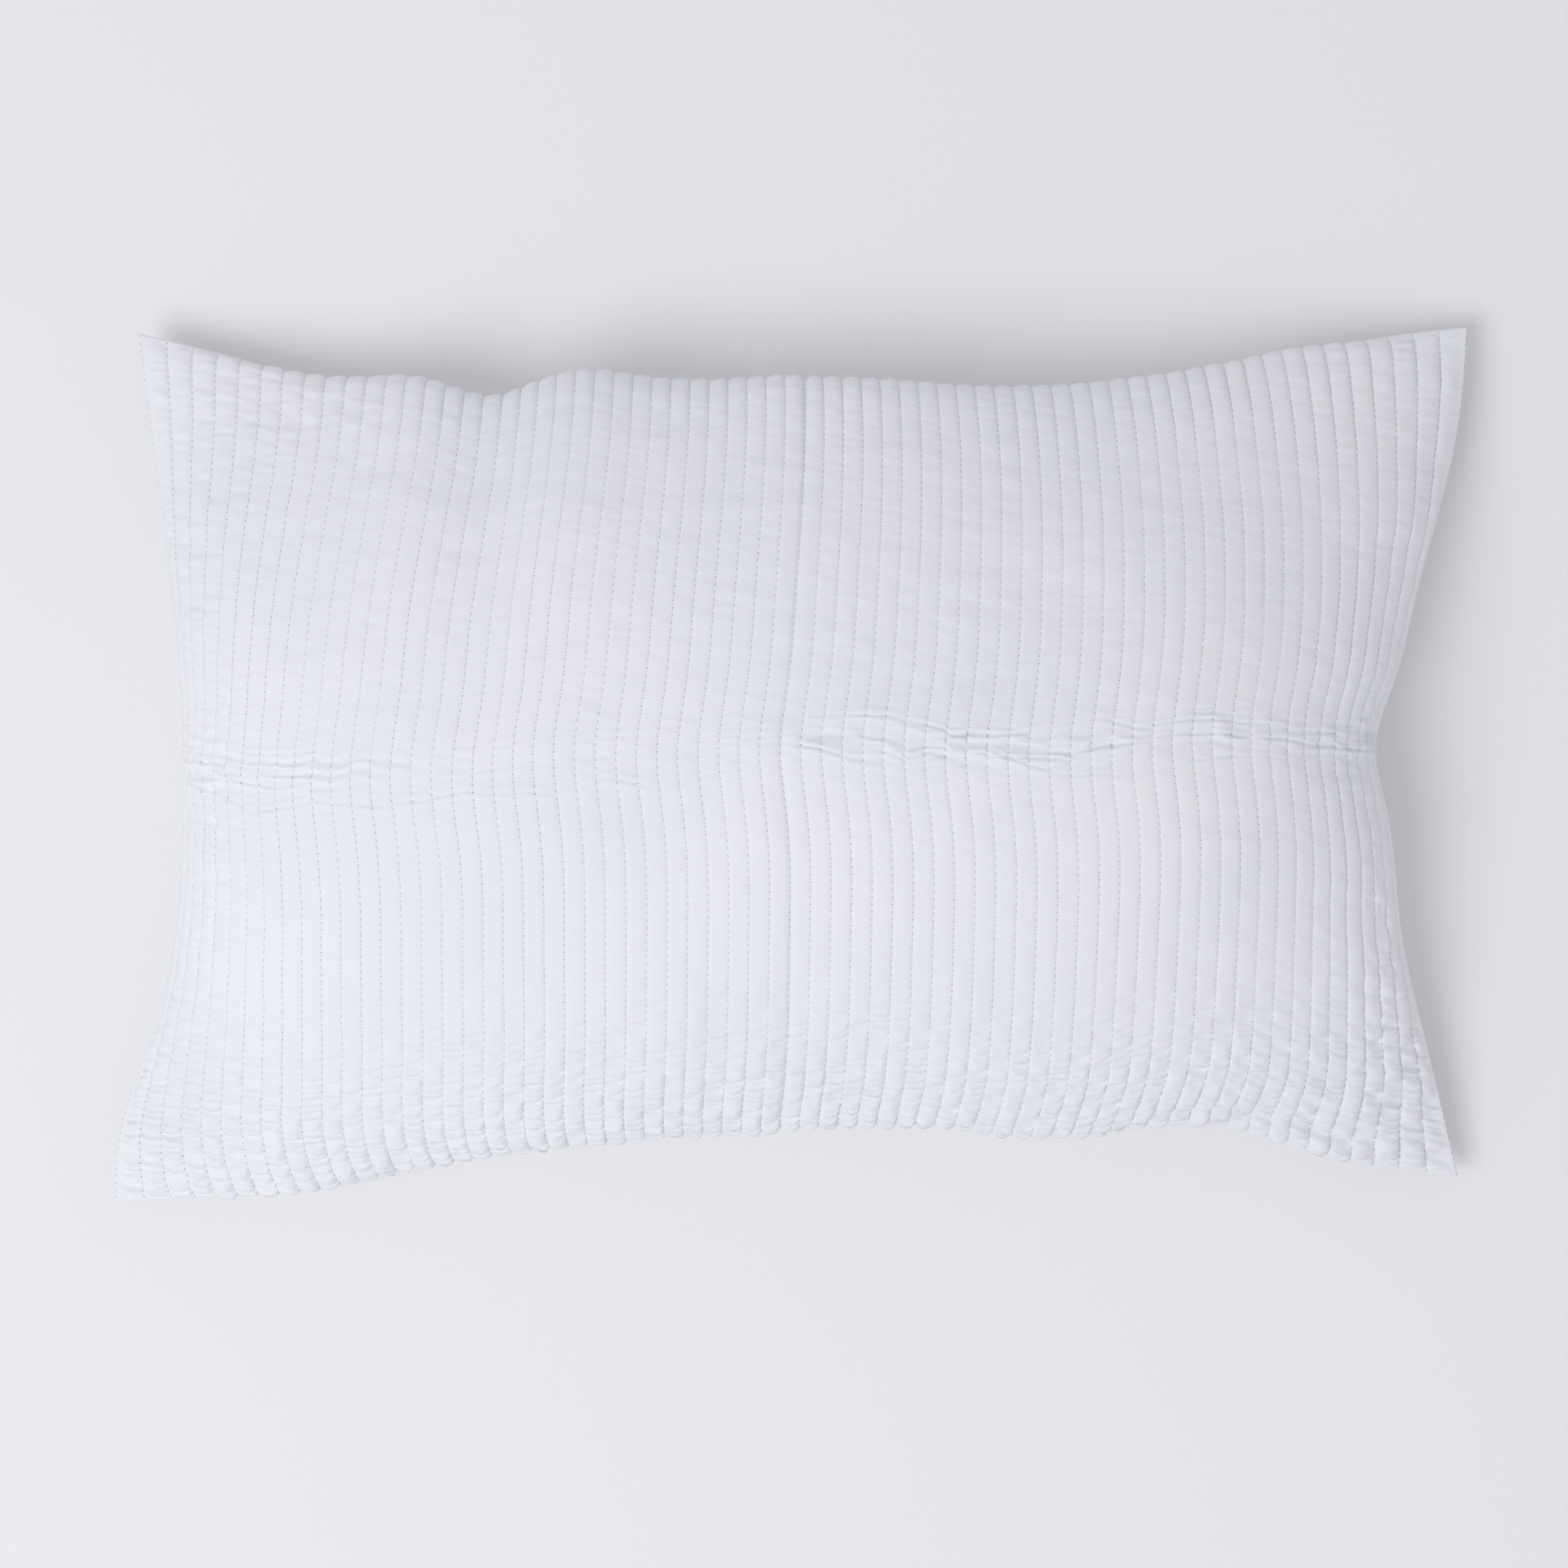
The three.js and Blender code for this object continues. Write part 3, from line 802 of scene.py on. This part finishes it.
lining_s = np.linspace(-1, 1, 4 * CHANNELS + 1)
lining_t = np.linspace(-1, 1, INSIDE_ROWS + 1)
inside_front = Side(top_shape, lining_s, lining_t, -1)
puff = LINING_PUFF * np.abs(np.sin((lining_s + 1) / 2 * CHANNELS * math.pi))[:, None] ** 0.7
lining_depth = FRONT_THICKNESS + CLEARANCE + puff
lining = closed_sheet(
    "front_lining",
    inside_front.ply(lining_depth, SEAM_LINING_OUTSIDE),
    inside_front.ply(lining_depth + LINING_THICKNESS, SEAM_INNERMOST),
    lining_s,
    lining_t,
)
muslin = cotton("lining_muslin", (0.80, 0.78, 0.72), (0.76, 0.74, 0.68), 0.9, thread=0.0005)
lining.data.materials.append(muslin)
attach(lining, "root")
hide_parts("sham_front_lining")

# ==============================================================================================
# Back of the sham. Two panels of plain percale, each with a doubled hem, that lap across the
# middle as an envelope; the pillow goes in between them, and the outer one lies on the bed.
BACK_THICKNESS = 0.0006
HEM_THICKNESS = 0.0013
LAP = 0.150
HEM_WIDTH = 0.020
HEM_TURN = 0.0016  # length over which the hem's plies begin
LAP_DROP = 0.022  # length over which the inner panel comes down past the lap
LAP_MARGIN = 0.003  # share of the half case past the outer hem before it starts to
BACK_CELL = 0.0034
EDGE_ROW = 0.0008  # how far in the last row of cells starts, as a share of the half case
lap_end = LAP / CASE_LENGTH
hem_in = (LAP / 2 - HEM_WIDTH) / (CASE_LENGTH / 2)


def back_wrinkles(s, t):
    """The slack of the back: pleats run in from the sewn edge, and the flat middle creases."""
    s, t = np.meshgrid(s, t, indexing="ij")
    x, y = s * CASE_LENGTH / 2, t * CASE_WIDTH / 2
    long_side = smoothstep(np.abs(t), 0.45, 0.85)
    ends = smoothstep(np.abs(s), 0.60, 0.90)
    relief = 0.0022 * long_side * noise(x / 0.028 + 11, y / 0.10, 31)
    relief += 0.0010 * long_side * noise(x / 0.011 + 5, y / 0.06, 32)
    relief += 0.0020 * ends * noise(x / 0.11, y / 0.026 + 3, 33)
    relief += 0.0008 * ends * noise(x / 0.05, y / 0.012 + 3, 34)
    creases = 1 - 2 * np.abs(noise((x + y) / 0.05, (x - y) / 0.018, 35))
    relief += 0.0006 * creases + 0.0003 * noise(x / 0.016, y / 0.013, 36)
    return relief


def back_panel(name, s, low_depth, thickness, below_lap):
    t = np.linspace(-1, 1, 2 * round(CASE_WIDTH / 2 / BACK_CELL) + 1)
    side = Side(bottom_shape, s, t, 1)
    wrinkles = back_wrinkles(s, t)
    outer_depth = low_depth[:, None] + wrinkles
    seam_height = SEAM_BACK_FACE + below_lap[:, None]
    lower = side.ply(outer_depth, seam_height)
    upper = side.ply(outer_depth + thickness[:, None], seam_height + BACK_THICKNESS)
    sunk = np.minimum(lower[..., 2] - BED_GAP, 0)  # no wrinkle goes down into the bed
    lower[..., 2] -= sunk
    upper[..., 2] -= sunk
    return closed_sheet(name, upper, lower, s, t), lower, upper


def panel_lines(start, end):
    lines = np.linspace(start, end, round((end - start) * CASE_LENGTH / 2 / BACK_CELL) + 1)
    hems = [c + k * HEM_TURN / CASE_LENGTH for c in (hem_in, -hem_in) for k in (-1, 0, 1)]
    ends = [start + EDGE_ROW, end - EDGE_ROW]
    return np.unique([x for x in [*lines, *hems, *ends] if start <= x <= end])


outer_s = panel_lines(-1, lap_end)
hem = smoothstep(outer_s, hem_in - HEM_TURN / CASE_LENGTH, hem_in + HEM_TURN / CASE_LENGTH)
outer_thickness = BACK_THICKNESS + (HEM_THICKNESS - BACK_THICKNESS) * hem
in_lap = smoothstep(outer_s, -lap_end - 0.02, -lap_end)
outer_panel, outer_lower, _ = back_panel(
    "back_outer_panel", outer_s, 0 * outer_s, outer_thickness, in_lap * SEAM_LAP_STEP
)

inner_s = panel_lines(-lap_end, 1)
hem = 1 - smoothstep(inner_s, -hem_in - HEM_TURN / CASE_LENGTH, -hem_in + HEM_TURN / CASE_LENGTH)
inner_thickness = BACK_THICKNESS + (HEM_THICKNESS - BACK_THICKNESS) * hem
drop_from = lap_end + LAP_MARGIN
over_outer = 1 - smoothstep(inner_s, drop_from, drop_from + LAP_DROP / (CASE_LENGTH / 2))
inner_depth = (HEM_THICKNESS + CLEARANCE) * over_outer
inner_panel, _, inner_upper = back_panel(
    "back_inner_panel", inner_s, inner_depth, inner_thickness, 0 * inner_s
)
back_cotton = cotton("back_cotton", (0.86, 0.87, 0.90), (0.825, 0.835, 0.87), 0.85, crinkle=0.35)
for panel, node, rest in (
    (outer_panel, "sham_back_outer_panel", "floor"),
    (inner_panel, "sham_back_inner_panel", "back_outer_panel"),
):
    panel.data.materials.append(back_cotton)
    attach(panel, "root")
    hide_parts(node)

# ==============================================================================================
# Sewing thread of the back. Each hem has one lockstitched line near its inner fold, and the
# whole edge is closed by a seam whose stitches just show between front and back.
HEM_STITCH = 0.0028
HEM_STITCH_IN = 0.0022  # from the inner fold of the hem
SEWING_THREAD_RADIUS = 0.00016
hem_lines = []
for points, lines, at, out in (
    (outer_lower, outer_s, hem_in + HEM_STITCH_IN / (CASE_LENGTH / 2), -1),
    (inner_upper, inner_s, -hem_in - HEM_STITCH_IN / (CASE_LENGTH / 2), 1),
):
    k = int(np.searchsorted(lines, at))
    share = (at - lines[k - 1]) / (lines[k] - lines[k - 1])
    path = points[k - 1] * (1 - share) + points[k] * share
    outward = normals_of(points)[k] * out
    hem_lines.append((path[2:-2], outward[2:-2]))
hem_thread = make_object(
    "hem_thread", *stitch_rows(hem_lines, HEM_STITCH, SEWING_THREAD_RADIUS, lift=0.00006)
)
hem_thread.data.materials.append(white_thread)
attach(hem_thread, "root")

SEAM_STITCH = 0.0026
SEAM_STITCH_IN = 0.0004  # in from the very edge
seam_s, seam_t = np.linspace(-1, 1, 201), np.linspace(-1, 1, 141)
seam_base = resample(top_shape, spread(seam_s), seam_t)
seam_curve = np.array([seam_base[a] for a in rim_path(seam_base.shape[:2])])
seam_curve = np.vstack([seam_curve, seam_curve[:1]])
outward = seam_curve * [1, 1, 0]
outward /= np.linalg.norm(outward, axis=1, keepdims=True)
seam_line = (seam_curve - outward * SEAM_STITCH_IN, outward)
seam_thread = make_object(
    "seam_thread",
    *stitch_rows([seam_line], SEAM_STITCH, SEWING_THREAD_RADIUS, shown=0.8, lift=0.0002, dive=0.002),
)
seam_thread.data.materials.append(white_thread)
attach(seam_thread, "root")

# ==============================================================================================
# Care label. A blank tab of woven satin, sewn by one end to the inside of the inner panel.
LABEL_THICKNESS = 0.0004
LABEL_COLUMNS, LABEL_ROWS = 30, 18
LABEL_STITCH = 0.0024
LABEL_THREAD_RADIUS = 0.00014


def satin(name):
    """Woven satin tape: fine ribs across it with painted shade in their hollows, and a soft shine."""
    material, tree, surface = new_material(name, Roughness=0.38, Sheen_Weight=0.3)
    place = tree.nodes.new("ShaderNodeTexCoord").outputs["Object"]
    ribs_and_shade = pattern(tree, "Wave", place, Scale=700.0, Distortion=0.6)
    # Painted shade: the ribs' hollows are coloured darker than their crests.
    shaded(tree, ribs_and_shade, surface, (0.78, 0.78, 0.78), (0.90, 0.90, 0.89))
    embossed(tree, ribs_and_shade, surface, 0.3, 0.0001)
    return material


label_satin = satin("label_satin")


def label(name, node, low, high, ground, curl):
    """A tab between two corners, laid at a height and curled up a little at its free end."""
    x = np.linspace(low[0], high[0], LABEL_COLUMNS + 1)
    y = np.linspace(low[1], high[1], LABEL_ROWS + 1)
    places = np.meshgrid(x, y, indexing="ij")
    free = ((places[0] - low[0]) / (high[0] - low[0])) ** 3
    height = ground + free * curl * (1 + 0.3 * noise(places[1] / 0.011, 0 * free, 41))
    lower = np.stack([*places, height], -1)
    upper = lower + [0, 0, LABEL_THICKNESS]
    tab = closed_sheet(name, upper, lower, x / (CASE_LENGTH / 2), y / (CASE_WIDTH / 2))
    tab.data.materials.append(label_satin)
    line = upper[1, 1:-1]
    upward = np.tile([0, 0, 1.0], (len(line), 1))
    sewn = stitch_rows([(line, upward)], LABEL_STITCH, LABEL_THREAD_RADIUS, lift=0.00004, dive=0.0004)
    thread = make_object(name + "_thread", *sewn)
    thread.data.materials.append(white_thread)
    for piece in (tab, thread):
        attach(piece, "root")
    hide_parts(node)


care_low, care_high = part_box("sham_care_label")
label("care_label", "sham_care_label", care_low, care_high, BACK_THICKNESS + 2 * CLEARANCE, 0.0008)

# ==============================================================================================
# Ticking of the insert. Two panels of close-woven cotton, joined at a piped edge, tight over
# the filling, and gathered in small pleats where the piping is sewn on.
INSERT_REACH_S, INSERT_REACH_T = 0.90, 0.86  # the insert's edge, as shares of the case's
TICKING_THICKNESS = 0.0005
INSERT_TOP_DEPTH = 0.0062  # how far inside the case's own top and back the insert lies
INSERT_BOTTOM_DEPTH = 0.0050
INSERT_COLUMNS, INSERT_ROWS = 132, 92
TICKING_OUTSIDE, TICKING_INSIDE = 0.0009, 0.0003  # a panel's faces from the middle of its seam

insert_s = np.linspace(-INSERT_REACH_S, INSERT_REACH_S, INSERT_COLUMNS + 1)
insert_t = np.linspace(-INSERT_REACH_T, INSERT_REACH_T, INSERT_ROWS + 1)
insert_middle = resample(seam_middle, spread(insert_s), insert_t)
own_s, own_t = np.meshgrid(insert_s / INSERT_REACH_S, insert_t / INSERT_REACH_T, indexing="ij")
swell = (((1 - np.abs(own_s) ** 8) * (1 - np.abs(own_t) ** 8)).clip(0) ** 0.45)[..., None]


def insert_side(shape, inward, depth):
    side = Side(shape, insert_s, insert_t, inward).ply(depth, 0)
    x, y = insert_middle[..., 0], insert_middle[..., 1]
    near_edge = np.exp(-(1 - np.maximum(np.abs(own_s), np.abs(own_t))) / 0.10)
    pleats = noise(x / 0.009, y / 0.009, 51) * near_edge * swell[..., 0]
    slack = 0.5 + 0.5 * noise(x / 0.05, y / 0.03, 52)
    share = swell * (1 - 0.02 * slack - 0.07 * np.abs(pleats))[..., None]
    return insert_middle + (side - insert_middle) * share


def edge_step(height):
    """Lifts a panel's face where it comes down to the seam."""
    return (1 - swell.clip(0, 0.2) / 0.2) * np.array([0, 0, height])


top_outside = insert_side(top_shape, -1, INSERT_TOP_DEPTH)
bottom_outside = insert_side(bottom_shape, 1, INSERT_BOTTOM_DEPTH)
up = normals_of(top_outside)
down = -normals_of(bottom_outside)
ticking = cotton("ticking", (0.86, 0.85, 0.80), (0.82, 0.81, 0.765), 0.8, thread=0.0004)
for node, upper, lower in (
    (
        "insert_ticking_top",
        top_outside + edge_step(TICKING_OUTSIDE),
        top_outside - swell * up * TICKING_THICKNESS + edge_step(TICKING_INSIDE),
    ),
    (
        "insert_ticking_bottom",
        bottom_outside - swell * down * TICKING_THICKNESS - edge_step(TICKING_INSIDE),
        bottom_outside - edge_step(TICKING_OUTSIDE),
    ),
):
    ticking_panel = closed_sheet(node + "_cloth", upper, lower, insert_s, insert_t)
    ticking_panel.data.materials.append(ticking)
    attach(ticking_panel, "root")
    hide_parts(node)

# ==============================================================================================
# Fibre filling. Siliconised polyester staple, blown in loose; it packs into soft lumps under
# the ticking.
EDGE_LEFT_EMPTY = 3  # rows of the ticking's grid by the piping that the filling doesn't reach
LUMP_HEIGHT = 0.0030
filled_part = slice(EDGE_LEFT_EMPTY, -EDGE_LEFT_EMPTY)
lumps = 0.5 + 0.5 * noise(insert_middle[..., 0] / 0.035, insert_middle[..., 1] / 0.035, 61)
lumps += 0.25 + 0.25 * noise(insert_middle[..., 0] / 0.014, insert_middle[..., 1] / 0.014, 62)
lump_depth = (TICKING_THICKNESS + CLEARANCE + LUMP_HEIGHT * lumps)[..., None]
fibre = closed_sheet(
    "insert_fibre",
    (top_outside - up * lump_depth)[filled_part, filled_part],
    (bottom_outside - down * lump_depth)[filled_part, filled_part],
    insert_s[filled_part],
    insert_t[filled_part],
)


def fibre_batt(name):
    """Tangled crimped fibre: strands at several scales, bright, with soft shaded hollows."""
    material, tree, surface = new_material(name, Roughness=0.95, Sheen_Weight=0.6)
    place = tree.nodes.new("ShaderNodeTexCoord").outputs["Object"]
    tangle = pattern(tree, "Noise", place, Scale=260.0, Detail=6.0, Distortion=2.5)
    shaded(tree, tangle, surface, (0.80, 0.80, 0.79), (0.93, 0.93, 0.92), 0.3, 0.6)
    embossed(tree, tangle, surface, 0.8, 0.001)
    return material


fibre.data.materials.append(fibre_batt("fibre_fill"))
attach(fibre, "root")
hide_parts("insert_fibre_fill")

# ==============================================================================================
# Piping of the insert. A cord wrapped in a bias strip of the ticking, sewn all round between
# the two panels.
PIPING_RADIUS = 0.0021
PIPING_SIDES = 12
CORD_STEP, AROUND_STEP = 0.005, 0.0011  # cloth taken up along the cord and around it, per face
rim = np.array([insert_middle[a] for a in rim_path(insert_middle.shape[:2])])
along = np.roll(rim, -1, axis=0) - np.roll(rim, 1, axis=0)
along[:, 2] = 0
along /= np.linalg.norm(along, axis=1, keepdims=True)
out = np.stack([along[:, 1], -along[:, 0], 0 * along[:, 0]], -1)
turns = (np.arange(PIPING_SIDES) * 2 * math.pi / PIPING_SIDES)[None, :, None]
centre = (rim + out * (PIPING_RADIUS + CLEARANCE))[:, None]
ripple = 1 + 0.05 * np.sin(np.arange(len(rim)) * 2.1)[:, None, None]
circle = np.cos(turns) * out[:, None] + np.sin(turns) * np.array([0, 0, 1.0])
tube = centre + PIPING_RADIUS * ripple * circle
ids = np.arange(len(rim) * PIPING_SIDES).reshape(len(rim), PIPING_SIDES)
ids = np.pad(ids, ((0, 1), (0, 1)), mode="wrap")
piping = make_object("insert_piping", tube.reshape(-1, 3), grid_faces(ids))
along_cord = np.repeat(np.arange(len(rim)) * CORD_STEP, PIPING_SIDES)
around_cord = np.tile(np.arange(PIPING_SIDES) * AROUND_STEP, len(rim))
set_cut_map(piping, np.stack([along_cord, around_cord], -1))
piping.data.materials.append(ticking)
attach(piping, "root")
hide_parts("insert_edge_piping")

# ==============================================================================================
# Law label of the insert. A blank satin tab that lies under the insert, sewn on by one end.
LAW_LABEL_HEIGHT = 0.0034  # above the floor, on the back's inner panel
law_low, law_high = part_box("insert_law_label")
label("law_label", "insert_law_label", law_low, law_high, LAW_LABEL_HEIGHT, 0.0004)

# ==============================================================================================
# Floor, light and camera.
bpy.ops.object.select_all(action="DESELECT")
bpy.ops.mesh.primitive_plane_add(size=8)
ground = bpy.context.object
ground.name = "floor"
pale, _, _ = new_material("pale_floor", Base_Color=(0.88, 0.885, 0.90, 1), Roughness=0.9)
ground.data.materials.append(pale)

world = bpy.data.worlds.new("studio")
bpy.context.scene.world = world
world.use_nodes = True
world.node_tree.nodes["Background"].inputs["Color"].default_value = (0.975, 0.98, 1.0, 1)
world.node_tree.nodes["Background"].inputs["Strength"].default_value = 0.61


def soft_light(name, place, aim, size, power):
    light = bpy.data.lights.new(name, "AREA")
    light.shape, light.size, light.energy = "DISK", size, power
    lamp = bpy.data.objects.new(name, light)
    lamp.location = place
    towards = np.array(aim, float) - np.array(place, float)
    lamp.rotation_euler = (
        math.acos(-towards[2] / np.linalg.norm(towards)),
        0,
        math.atan2(towards[1], towards[0]) - math.pi / 2,
    )
    bpy.context.scene.collection.objects.link(lamp)


WINDOW_PLACE, WINDOW_AIM = (-1.56, -1.10, 3.02), (0, 0, 0.05)
soft_light("window", WINDOW_PLACE, WINDOW_AIM, 2.2, 47)

bpy.context.scene.view_settings.view_transform = "Standard"
CAMERA_HEIGHT = 2.60
FRAME_WIDTH = 0.881  # width seen at FRAME_HEIGHT
FRAME_HEIGHT = 0.03
SENSOR_WIDTH = 36
camera_data = bpy.data.cameras.new("camera")
camera_data.sensor_width = SENSOR_WIDTH
camera_data.lens = SENSOR_WIDTH * (CAMERA_HEIGHT - FRAME_HEIGHT) / FRAME_WIDTH
camera = bpy.data.objects.new("camera", camera_data)
camera.location = (-0.004, -0.014, CAMERA_HEIGHT)
bpy.context.scene.collection.objects.link(camera)
bpy.context.scene.camera = camera
